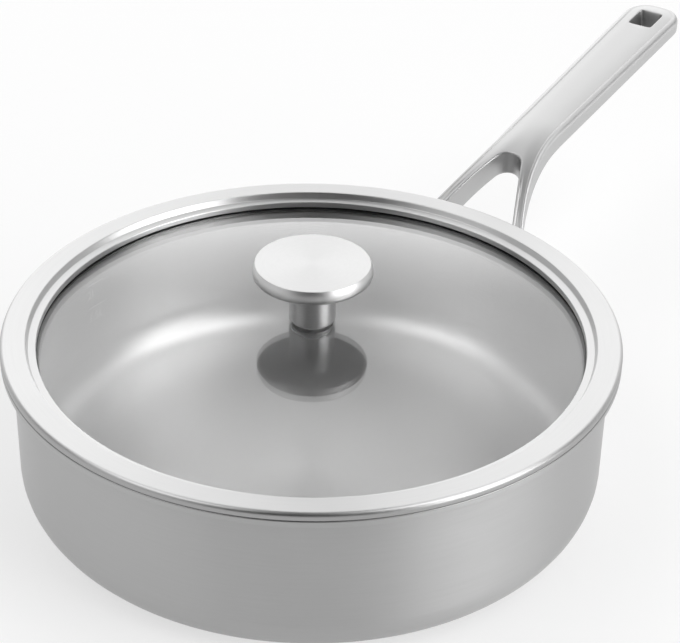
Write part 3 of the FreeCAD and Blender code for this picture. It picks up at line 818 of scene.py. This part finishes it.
def round_box(centre, halves, corner, first, way, parts):
    """A rectangle with round corners, from a direction in degrees on; way is 1, or -1 for clockwise."""
    outline = []
    for start in range(first, first + way * 360, way * 90):
        middle = radians(start + way * 45)
        spot = (
            centre[0] + copysign(halves[0] - corner, cos(middle)),
            centre[1] + copysign(halves[1] - corner, sin(middle)))
        outline += arc(spot, corner, radians(start), radians(start + way * 90), parts)
    return outline


def quarter(size, degrees):
    """How far in from the edge and below the face a quarter round lies at each step."""
    return [(size * (1 - cos(turn)), size * (1 - sin(turn))) for turn in map(radians, degrees)]


def mirrored(line):
    """A line in plan on the other side of the handle's middle."""
    return [(x, -y) for x, y in line]


def smooth(part):
    """A smooth rise from 0 to 1."""
    part = min(1.0, max(0.0, part))
    return part * part * (3 - 2 * part)


def insets(loop, root_x=None):
    """The inward direction at each point of a closed anticlockwise loop; it follows a cut at root_x."""
    found = []
    for last, here, after in zip(loop[-1:] + loop[:-1], loop, loop[1:] + loop[:1]):
        into = Vector((here[0] - last[0], here[1] - last[1])).normalized()
        out = Vector((after[0] - here[0], after[1] - here[1])).normalized()
        first, second = Vector((-into.y, into.x)), Vector((-out.y, out.x))
        if here[0] == root_x:
            side = first if abs(first.y) > abs(second.y) else second
            found.append(Vector((0.0, 1 / side.y)))
        else:
            found.append((first + second) / (1 + first.dot(second)))
    return found


def ring_of(mesh, loop, directions, offsets, heights):
    """A ring of new vertices, each moved inwards from a loop and lifted to its height."""
    return [
        mesh.verts.new((spot[0] + way.x * offset, spot[1] + way.y * offset, height))
        for spot, way, offset, height in zip(loop, directions, offsets, heights)]


def fill(mesh, rings, inner):
    """Triangles over the plan between closed rings, through inner vertices."""
    vertices = [vertex for ring in rings for vertex in ring] + inner
    edges, start = [], 0
    for ring in rings:
        count = len(ring)
        edges += [(start + index, start + (index + 1) % count) for index in range(count)]
        start += count
    spots = [vertex.co.xy for vertex in vertices]
    _, _, faces, sources, *_ = delaunay_2d_cdt(spots, edges, [], 0, SAME_SPOT)
    outlines = [plan(ring) for ring in rings]
    for face in faces:
        corners = [vertices[sources[index][0]] for index in face]
        centre = sum((corner.co.xy for corner in corners), Vector((0.0, 0.0))) / 3
        if sum(holds(outline, centre) for outline in outlines) % 2:
            mesh.faces.new(corners)


def plan(ring):
    """A ring of vertices as an outline in plan."""
    return np.array([vertex.co.xy for vertex in ring])


def holds(outline, spot):
    """Whether a spot lies inside a closed outline."""
    after = np.roll(outline, -1, axis=0)
    crosses = (outline[:, 1] > spot.y) != (after[:, 1] > spot.y)
    first, second = outline[crosses], after[crosses]
    reach = first[:, 0] + (spot.y - first[:, 1]) / (second[:, 1] - first[:, 1]) * (second[:, 0] - first[:, 0])
    return int(np.count_nonzero(reach > spot.x)) % 2


def grid(form, ring, hole_ring):
    """Spots of an even grid between the handle's last ring and that of its hole, clear of both."""
    outlines = [plan(ring), plan(hole_ring)]
    spots = []
    for column in range(int((form.end_x - form.root_x) / GRID_PITCH)):
        for row in range(-GRID_ROWS, GRID_ROWS + 1):
            x, y = form.root_x + column * GRID_PITCH, row * GRID_PITCH
            clear = min(np.min(np.hypot(line[:, 0] - x, line[:, 1] - y)) for line in outlines)
            if clear > GRID_CLEAR and [holds(line, Vector((x, y))) for line in outlines] == [1, 0]:
                spots.append((x, y))
    return spots


def handle_body(form):
    """The forked bar: a crowned top with a rail round its edge, plain sides and a rounded underside."""
    sizes = form.sizes
    mesh = bmesh.new()
    outer, gap = form.outer_line(), form.gap_line()
    loop = mirrored(outer) + outer[-2::-1] + gap + mirrored(gap[-2::-1])
    outer_count = 2 * len(outer) - 1
    shares = [
        form.rail_share(x) if index < outer_count else sizes.arm_share for index, (x, _) in enumerate(loop)]
    ways = insets(loop, form.root_x)
    hole = form.hole_line()
    hole_ways = insets(hole)
    edge_line = np.array(loop[:outer_count])
    edge_shares = np.array(shares[:outer_count])

    def top_at(x, y):
        nearest = np.min(np.hypot(edge_line[:, 0] - x, edge_line[:, 1] - y) / edge_shares)
        return form.top(x) - form.drop(float(nearest), x)

    steps = [inset for inset, _ in quarter(sizes.top_round, FINE_QUARTER)]
    steps += [sizes.rail_width - back * MM for back in CREASE_STEPS]
    gap_steps = [inset for inset, _ in quarter(sizes.gap_round, FINE_QUARTER)]
    gap_steps += [sizes.groove_inset + part * sizes.groove_half for part in GROOVE_STEPS]
    rings = []
    for inset, gap_inset in zip(steps, gap_steps):
        offsets, heights = [], []
        for index, (spot, way, part) in enumerate(zip(loop, ways, shares)):
            beside_gap = index >= outer_count
            offset = gap_inset if beside_gap else inset * part
            x, y = spot[0] + way.x * offset, spot[1] + way.y * offset
            offsets.append(offset)
            if beside_gap:
                heights.append(top_at(x, y) - form.gap_drop(gap_inset, x))
            else:
                heights.append(form.top(x) - form.drop(inset, spot[0]))
        rings.append(ring_of(mesh, loop, ways, offsets, heights))
    hole_rings = []
    for inset in [inset for inset, _ in quarter(sizes.hole_round, QUARTER)] + [2 * sizes.hole_round]:
        heights = [
            top_at(spot[0] + way.x * inset, spot[1] + way.y * inset) - round_fall(inset, sizes.hole_round)
            for spot, way in zip(hole, hole_ways)]
        hole_rings.append(ring_of(mesh, hole, hole_ways, [inset] * len(hole), heights))
    inner = grid(form, rings[-1], hole_rings[-1])
    fill(mesh, [rings[-1], hole_rings[-1]], [mesh.verts.new((x, y, top_at(x, y))) for x, y in inner])
    under_rings, under_hole = [], []
    for (inset, lift), (back, hole_lift) in zip(
            quarter(sizes.under_round, QUARTER), quarter(sizes.hole_round, QUARTER)):
        offsets = [inset * part for part in shares]
        heights = [
            form.under(spot[0] + way.x * offset) + lift * part
            for spot, way, offset, part in zip(loop, ways, offsets, shares)]
        under_rings.append(ring_of(mesh, loop, ways, offsets, heights))
        inset = back - sizes.hole_taper
        heights = [form.under(spot[0] + way.x * inset) + hole_lift for spot, way in zip(hole, hole_ways)]
        under_hole.append(ring_of(mesh, hole, hole_ways, [inset] * len(hole), heights))
    fill(mesh, [under_rings[-1], under_hole[-1]], [mesh.verts.new((x, y, form.under(x))) for x, y in inner])
    for above, below in ((rings, under_rings), (hole_rings, under_hole)):
        rows = [
            [mesh.verts.new(high.co.lerp(low.co, part)) for high, low in zip(above[0], below[0])]
            for part in SIDE_STEPS]
        skin(mesh, above[::-1] + rows + below)
    return mesh


def foot_pad(form, side):
    """A foot: a rounded plate, flat in front and hollowed to the wall behind."""
    sizes = form.sizes
    turn = asin(sizes.foot_side / form.foot_radius) * side
    along_x = form.foot_radius * cos(turn)
    middle = (form.top(along_x) + form.under(along_x)) / 2
    halves = (sizes.foot_width / 2, sizes.foot_height / 2)
    outline = round_box((0.0, 0.0), halves, sizes.foot_corner, 0, 1, FOOT_PARTS)
    ways = insets(outline)
    front = form.foot_radius + sizes.foot_thick
    mesh = bmesh.new()
    rings = [[
        mesh.verts.new((sqrt(form.foot_radius ** 2 - across ** 2), across, up)) for across, up in outline]]
    for offset, fall in quarter(sizes.foot_round, QUARTER):
        rings.append([
            mesh.verts.new((front - fall, across + way.x * offset, up + way.y * offset))
            for (across, up), way in zip(outline, ways)])
    skin(mesh, rings)
    mesh.faces.new(rings[0][::-1])
    mesh.faces.new(rings[-1])
    place = Matrix.Rotation(turn, 4, "Z") @ Matrix.Translation((0.0, 0.0, middle))
    bmesh.ops.transform(mesh, matrix=place, verts=mesh.verts)
    return mesh


def welded(meshes):
    """One closed mesh of several that overlap."""
    shapes = [new_object("handle_part", mesh_data("handle_part", mesh)) for mesh in meshes]
    for other in shapes[1:]:
        union = shapes[0].modifiers.new("weld", "BOOLEAN")
        union.operation = "UNION"
        union.solver = "EXACT"
        union.object = other
    joined = bmesh.new()
    joined.from_object(shapes[0], bpy.context.evaluated_depsgraph_get())
    for shape in shapes:
        data = shape.data
        bpy.data.objects.remove(shape)
        bpy.data.meshes.remove(data)
    if any(not edge.is_manifold for edge in joined.edges):
        raise RuntimeError("the handle and its feet do not join into one closed mesh")
    return joined


class SAUTE_OT_handle(bpy.types.Operator):
    """Build the forked handle with its two feet"""

    bl_idname = "saute_pan.handle"
    bl_label = "Handle"

    def execute(self, context):
        sizes = context.scene.saute_handle
        form = HandleForm(sizes, context.scene.saute_vessel)
        tints = context.scene.saute_finishes
        far = form.end_x - sizes.hole_edge
        steel = blasted_finish(
            "cast_steel", tints.cast_steel, roughness=0.40,
            # painted shade inside the hanging hole
            hole=(far - sizes.hole_length, far, sizes.hole_width / 2))
        whole = welded([handle_body(form), foot_pad(form, 1), foot_pad(form, -1)])
        piece("handle_body", whole, steel, "pan", "cast_steel", "handle")
        for name in ("handle_weld_left", "handle_weld_right"):
            paint_node(name, steel)
        return {"FINISHED"}


def dome_line(first, last, radius, depth, count):
    """Points along a dome's profile between two radii."""
    return [
        (across, sqrt(radius ** 2 - across ** 2) - depth)
        for across in (first + (last - first) * part / count for part in range(count + 1))]


class SAUTE_OT_lid_band(bpy.types.Operator):
    """Build the lid's steel band and the seal, and finish its retainer"""

    bl_idname = "saute_pan.lid_band"
    bl_label = "Lid band"

    def execute(self, context):
        lid = context.scene.saute_lid
        vessel = context.scene.saute_vessel
        tints = context.scene.saute_finishes
        steel = turned_finish(
            "satin_steel_band", tints.satin_band, roughness=0.38, anisotropy=0.6, relief=0.08,
            # painted shade at the lower edge of the band's outer side
            painted_shade=shade_inside_rim(vessel, BAND_PAINTED_SHADE))
        rubber = silicone_finish("black_silicone", tints.black_silicone, roughness=0.45, clear=0.0)
        rim, lip = vessel.rim_height, vessel.lip_radius
        sheet, cut = lid.ring_sheet, lid.cut_round
        slant = sheet * lid.slope_share
        top = rim + lid.ring_rise
        flat = lip - lid.ring_inset
        step, step_z = flat - lid.step_run, top - lid.step_drop
        shelf, shelf_z = step - lid.shelf_run, step_z - lid.shelf_drop
        edge, edge_z = shelf - lid.edge_lean, shelf_z - lid.edge_drop
        band = [
            (edge, edge_z, cut), (shelf, shelf_z, lid.shelf_round), (step, step_z, lid.step_round),
            (flat, top, lid.flat_round), (lip, top, lid.ring_round), (lip, rim, sheet),
            (lip - lid.hem_width, rim, cut), (lip - lid.hem_width, rim + sheet, 0.0),
            (lip - sheet, rim + sheet, 0.0), (lip - sheet, top - sheet, lid.fold_round),
            (flat + slant, top - sheet, cut), (step + slant, step_z - sheet, cut),
            (shelf + sheet, shelf_z - sheet, cut), (edge + sheet, edge_z, cut)]
        piece("rim_band", lathe(rounded(band)), steel, "lid", "satin_steel", "lid_ring")
        hold, outer = lid.glass_radius + lid.seal_fit, lid.glass_radius + lid.seal_thick
        lap, toe = lid.glass_radius - lid.retainer_lap, edge - lid.seal_toe
        upper, lower = lid.dome_radius, lid.dome_radius - lid.glass_thick
        seal = []
        for first, last, radius in (
                (toe, outer, upper + lid.seal_lip), (outer, lap, lower - lid.seal_thick),
                (lap, hold, lower - lid.seal_fit), (hold, toe, upper + lid.seal_fit)):
            seal += dome_line(first, last, radius, lid.dome_depth, SEAL_PARTS)
        piece("seal_channel", lathe(seal), rubber, "lid", "black_silicone", "glass_seal")
        paint_node("lid_retainer", steel)
        return {"FINISHED"}


def figures(text, size, depth):
    """A mesh of upright figures that start at the origin, in X and Y."""
    letters = bpy.data.curves.new("figures", "FONT")
    letters.body = text
    letters.size = size
    letters.extrude = depth / 2
    letters.resolution_u = FIGURE_PARTS
    holder = new_object("figures", letters)
    mesh = bmesh.new()
    data = holder.evaluated_get(bpy.context.evaluated_depsgraph_get()).to_mesh()
    mesh.from_mesh(data)
    bpy.data.objects.remove(holder)
    bpy.data.curves.remove(letters)
    bmesh.ops.remove_doubles(mesh, verts=mesh.verts, dist=FIGURE_MERGE)
    return mesh


class SAUTE_OT_measuring_marks(bpy.types.Operator):
    """Lay the measuring marks on the inside wall"""

    bl_idname = "saute_pan.measuring_marks"
    bl_label = "Measuring marks"

    def execute(self, context):
        marks = context.scene.saute_marks
        bore = context.scene.saute_vessel.bore_radius
        etched = blasted_finish("etched_mark", context.scene.saute_finishes.etched_mark, roughness=0.68)
        half_width, half_depth = marks.line_width / 2, marks.depth / 2
        section = [
            (side * half_width, level * half_depth) for side, level in ((-1, -1), (1, -1), (1, 1), (-1, 1))]
        for name, text, height in (
                ("mark_two_litres", "2L", marks.two_litres),
                ("mark_one_and_a_half", "1.5L", marks.half_more)):
            mesh = figures(text, marks.text_size, marks.depth)
            bmesh.ops.translate(mesh, verts=mesh.verts, vec=(0.0, -marks.text_fall, 0.0))
            rings = [
                [mesh.verts.new((part / MARK_PARTS * marks.line_length, *corner)) for corner in section]
                for part in range(MARK_PARTS + 1)]
            skin(mesh, rings)
            mesh.faces.new(rings[0])
            mesh.faces.new(rings[-1])
            for vertex in mesh.verts:
                turn = marks.bearing + (marks.line_length / 2 - vertex.co.x) / bore
                away = bore - half_depth - vertex.co.z
                vertex.co = (away * cos(turn), away * sin(turn), height + vertex.co.y)
            piece(name, mesh, etched, "pan", "satin_steel")
        return {"FINISHED"}


class SAUTE_OT_lid_glass(bpy.types.Operator):
    """Build the domed glass of the lid"""

    bl_idname = "saute_pan.lid_glass"
    bl_label = "Lid glass"

    def execute(self, context):
        lid = context.scene.saute_lid
        tints = context.scene.saute_finishes
        clear = glass_finish("clear_glass", tints.clear_glass)
        hole, rim, edge = lid.hole_radius, lid.glass_radius, lid.glass_edge
        under = lid.dome_radius - lid.glass_thick
        upper = dome_line(hole + edge / 2, rim - edge, lid.dome_radius, lid.dome_depth, GLASS_PARTS)
        lower = dome_line(rim - edge, hole + edge / 2, under, lid.dome_depth, GLASS_PARTS)
        sides = [(rim, upper[-1][1] - edge), (rim, lower[0][1] + edge)]
        bore = [(hole, lower[-1][1] + edge / 2), (hole, upper[0][1] - edge / 2)]
        piece("glass_pane", lathe(upper + sides + lower + bore), clear, "lid", "clear_glass", "lid_glass")
        return {"FINISHED"}


class SAUTE_OT_knob(bpy.types.Operator):
    """Build the knob and finish the pieces that hold it"""

    bl_idname = "saute_pan.knob"
    bl_label = "Knob"

    def execute(self, context):
        knob = context.scene.saute_knob
        lid = context.scene.saute_lid
        tints = context.scene.saute_finishes
        steel = turned_finish("turned_steel", tints.turned_steel, roughness=0.40, anisotropy=0.3, relief=0.06)
        soft = silicone_finish("clear_silicone", tints.clear_silicone, roughness=0.4, clear=0.5)
        foot = lid.dome_radius - lid.dome_depth + knob.seat_thick
        under = foot + knob.stem_length
        top = under + knob.thick
        deep = foot + knob.thread_depth
        outline = [
            (0.0, top, 0.0), (knob.radius - knob.face_inset, top, knob.face_round),
            (knob.radius, top - knob.face_rise, knob.side_round), (knob.radius, under, knob.under_round),
            (knob.stem_radius, under, knob.stem_fillet), (knob.stem_radius, foot, knob.stem_round),
            (knob.thread_radius, foot, knob.thread_round), (knob.thread_radius, deep, 0.0), (0.0, deep, 0.0)]
        piece("knob_body", lathe(rounded(outline)), steel, "lid", "turned_steel", "knob")
        for name in ("cup_washer", "lock_washer", "knob_screw"):
            paint_node(name, steel)
        for name in ("knob_seat", "hole_grommet"):
            paint_node(name, soft)
        return {"FINISHED"}


class SAUTE_OT_stage(bpy.types.Operator):
    """Set the floor, the light and the camera"""

    bl_idname = "saute_pan.stage"
    bl_label = "Stage"

    def execute(self, context):
        stage = context.scene.saute_stage
        self.lay_floor(stage)
        self.light(context.scene, stage)
        self.aim(context.scene, stage)
        context.scene.view_settings.view_transform = "Standard"
        return {"FINISHED"}

    def lay_floor(self, stage):
        """A plain pale floor."""
        half = stage.floor_size / 2
        data = bpy.data.meshes.new("floor")
        corners = [(-half, -half, 0.0), (half, -half, 0.0), (half, half, 0.0), (-half, half, 0.0)]
        data.from_pydata(corners, [], [(0, 1, 2, 3)])
        floor = new_object("floor", data)
        finish = Finish("floor")
        finish.set(Base_Color=shade(stage.floor_colour, 1.0), Roughness=0.9, Specular_IOR_Level=0.0)
        rays = finish.add("ShaderNodeLightPath").outputs
        shown = Quantity(finish, rays["Is Camera Ray"])
        for kind in ("Is Glossy Ray", "Is Transmission Ray"):
            shown = shown.work("MAXIMUM", shown, Quantity(finish, rays[kind]))
        white = finish.add("ShaderNodeEmission", None, {"Strength": 1.0})
        mixed = finish.add(
            "ShaderNodeMixShader", None,
            {0: shown * stage.floor_white, 1: finish.shader.outputs[0], 2: white.outputs[0]})
        finish.feed(finish.tree.nodes["Material Output"].inputs["Surface"], mixed.outputs[0])
        data.materials.append(finish.material)

    def light(self, scene, stage):
        """A room that is bright behind the pan and dim on the camera's side."""
        scene.world = bpy.data.worlds.new("room")
        scene.world.use_nodes = True
        room = Graph(scene.world.node_tree)
        x, y, z = room.split(room.add("ShaderNodeTexCoord").outputs["Generated"])
        behind = x * cos(stage.camera_bearing) + y * sin(stage.camera_bearing)
        level = behind.step(*ROOM_SIDES) * (1 - z.step(*ROOM_TOP)) * stage.horizon
        for name, (turn, climb, spread, *_) in LAMPS.items():
            away, rise = stage.camera_bearing - radians(turn), radians(climb)
            toward = x * (cos(rise) * cos(away)) + y * (cos(rise) * sin(away)) + z * sin(rise)
            shine = toward.step(cos(radians(spread)), cos(radians(LAMP_CORE)))
            level = level + shine * getattr(stage, name)
        backdrop = room.tree.nodes["Background"]
        room.feed(backdrop.inputs["Strength"], level)
        room.feed(backdrop.inputs["Color"], (1.0, 1.0, 1.0, 1.0))

    def aim(self, scene, stage):
        """The camera, aimed at the lid and turned a little so that the pan sits left of the middle."""
        bearing, climb = stage.camera_bearing, stage.camera_climb
        forward = Vector((cos(climb) * cos(bearing), cos(climb) * sin(bearing), -sin(climb)))
        right = Vector((sin(bearing), -cos(bearing), 0.0))
        up = right.cross(forward)
        place = Vector((0.0, 0.0, stage.aim_height)) - forward * stage.camera_range
        turned = Matrix.Rotation(-stage.camera_turn, 3, up) @ forward
        right = Matrix.Rotation(-stage.camera_turn, 3, up) @ right
        forward = Matrix.Rotation(stage.camera_tilt, 3, right) @ turned
        up = right.cross(forward)
        rolled = right * cos(stage.camera_roll) + up * sin(stage.camera_roll)
        up = rolled.cross(forward)
        data = bpy.data.cameras.new("camera")
        data.lens = stage.lens
        data.sensor_width = FILM_WIDTH
        data.sensor_fit = "HORIZONTAL"
        camera = new_object("camera", data)
        facing = Matrix((rolled, up, -forward)).transposed().to_4x4()
        camera.matrix_world = Matrix.Translation(place) @ facing
        scene.camera = camera


class SAUTE_PT_panel(bpy.types.Panel):
    """Buttons that build the pan"""

    bl_idname = "SAUTE_PT_panel"
    bl_label = "Saute pan"
    bl_space_type = "VIEW_3D"
    bl_region_type = "UI"
    bl_category = "Saute pan"

    def draw(self, context):
        for step in STEPS:
            self.layout.operator(step.bl_idname)


SIZES = {
    "saute_vessel": VesselSizes,
    "saute_handle": HandleSizes,
    "saute_lid": LidSizes,
    "saute_knob": KnobSizes,
    "saute_marks": MarkSizes,
    "saute_finishes": Finishes,
    "saute_stage": StageSizes,
}
STEPS = (
    SAUTE_OT_vessel, SAUTE_OT_measuring_marks, SAUTE_OT_handle, SAUTE_OT_lid_band, SAUTE_OT_lid_glass,
    SAUTE_OT_knob, SAUTE_OT_stage)


def register():
    """Registers the sizes, the steps and the panel."""
    for kind in (*SIZES.values(), *STEPS, SAUTE_PT_panel):
        bpy.utils.register_class(kind)
    for name, kind in SIZES.items():
        setattr(bpy.types.Scene, name, PointerProperty(type=kind))


def unregister():
    """Takes all of it out again."""
    for name in SIZES:
        delattr(bpy.types.Scene, name)
    for kind in (SAUTE_PT_panel, *reversed(STEPS), *reversed(SIZES.values())):
        bpy.utils.unregister_class(kind)


def main():
    """Builds the pan and its stage."""
    register()
    bpy.ops.saute_pan.vessel()
    bpy.ops.saute_pan.measuring_marks()
    bpy.ops.saute_pan.handle()
    bpy.ops.saute_pan.lid_band()
    bpy.ops.saute_pan.lid_glass()
    bpy.ops.saute_pan.knob()
    bpy.ops.saute_pan.stage()


if __name__ == "__main__":
    main()
